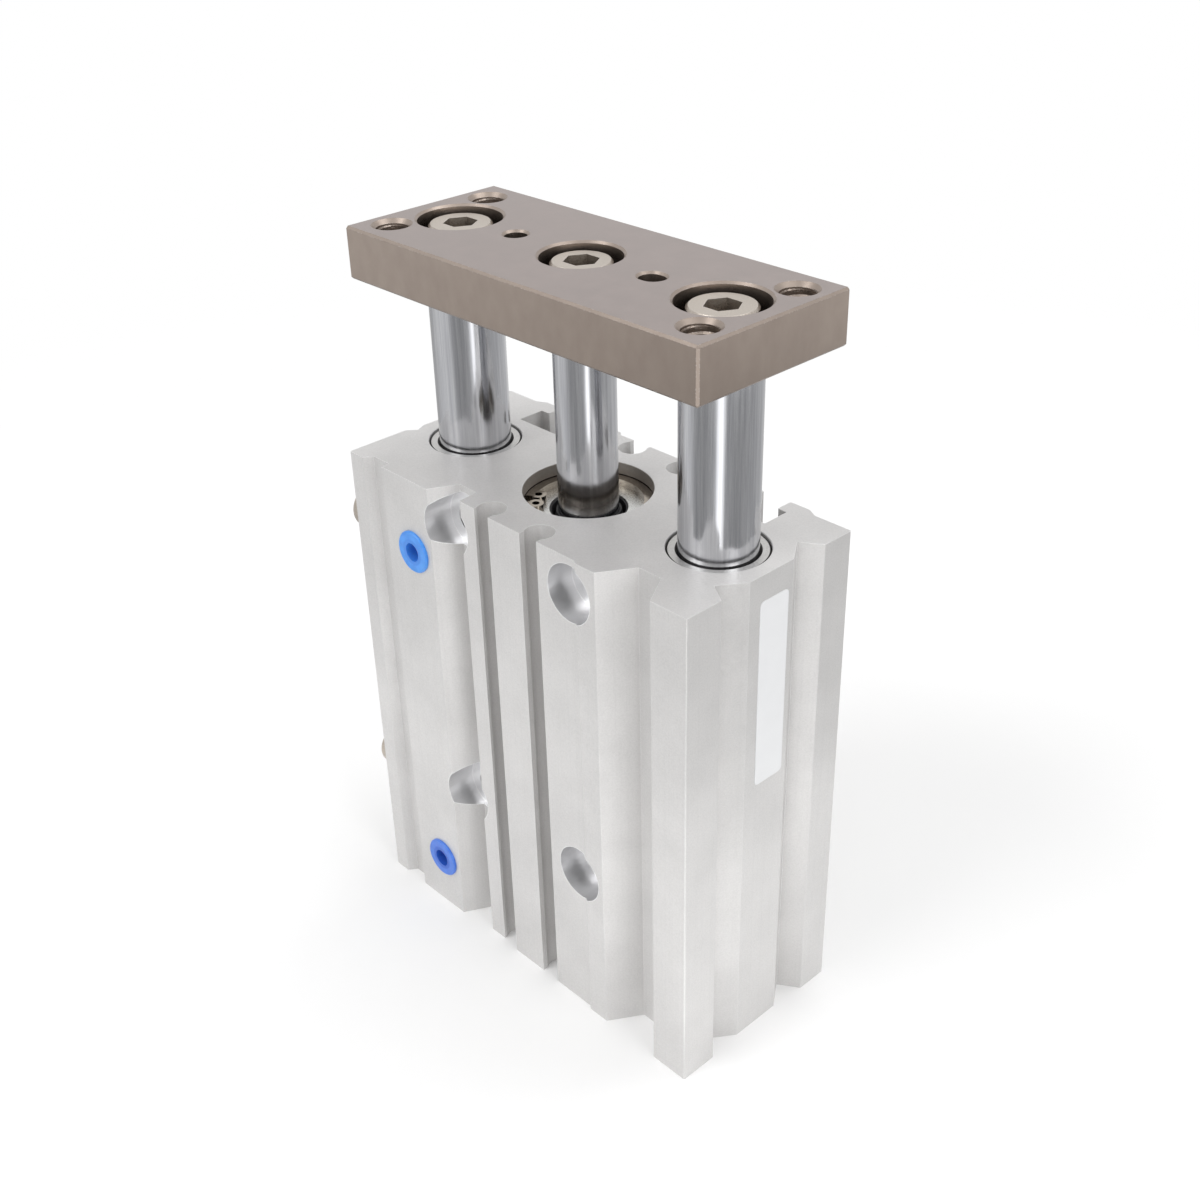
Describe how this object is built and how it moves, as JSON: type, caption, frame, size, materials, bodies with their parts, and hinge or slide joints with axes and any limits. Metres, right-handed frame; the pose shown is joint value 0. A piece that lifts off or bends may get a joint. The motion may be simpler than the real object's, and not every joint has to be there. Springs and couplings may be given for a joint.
{
  "type": "guided pneumatic cylinder",
  "caption": "Compact guided pneumatic cylinder: an extruded aluminium body, a piston rod between two guide rods, and a steel tooling plate that slides out with them.",
  "frame": {"origin": "centre of the body's lower end face, in the middle of its four tapped holes", "axes": "+Z along the stroke from the body to the plate, +Y out of the back with the T-slots, the ports and counterbores face -Y, +X away from the ports"},
  "size_m": [0.0671, 0.0304, 0.1042],
  "materials": {
    "aluminium_body": "satin anodised",
    "aluminium_cover": "satin",
    "plate_steel": "nickel plated steel, satin",
    "rod_steel": "hard chrome on steel, polished",
    "screw_steel": "matte nickel on steel",
    "ring_steel": "bright nickel on spring steel",
    "bearing_bronze": "machined bronze",
    "plug_plastic": "smooth blue polyethylene",
    "label_film": "blank satin film",
    "rubber": "matte nitrile rubber",
    "urethane": "matte urethane",
    "magnet": "matte ferrite"
  },
  "bodies": {
    "cylinder": {"body": "aluminium_body", "head_cover": "aluminium_cover", "head_cover_gasket": "rubber", "head_cover_ring": "ring_steel", "rod_cover": "aluminium_cover", "rod_cover_gasket": "rubber", "rod_seal": "rubber", "rod_cover_ring": "ring_steel", "upper_bearing_left": "bearing_bronze", "upper_bearing_right": "bearing_bronze", "lower_bearing_left": "bearing_bronze", "lower_bearing_right": "bearing_bronze", "upper_port_plug": "plug_plastic", "lower_port_plug": "plug_plastic", "upper_side_plug": "screw_steel", "lower_side_plug": "screw_steel", "upper_side_gasket": "rubber", "lower_side_gasket": "rubber", "passage_ball": "ring_steel"},
    "carriage": {"plate": "plate_steel", "piston_rod": "rod_steel", "piston": "aluminium_cover", "piston_seal": "rubber", "piston_gasket": "rubber", "piston_magnet": "magnet", "upper_bumper": "urethane", "lower_bumper": "urethane", "guide_rod_left": "rod_steel", "guide_rod_right": "rod_steel", "plate_bolt": "screw_steel", "guide_bolt_left": "screw_steel", "guide_bolt_right": "screw_steel"}
  },
  "joints": [
    {"name": "rod_slide", "type": "slide", "parent": "cylinder", "child": "carriage", "axis": [0, 0, 1], "range_m": [-0.0182, 0.0218]}
  ]
}
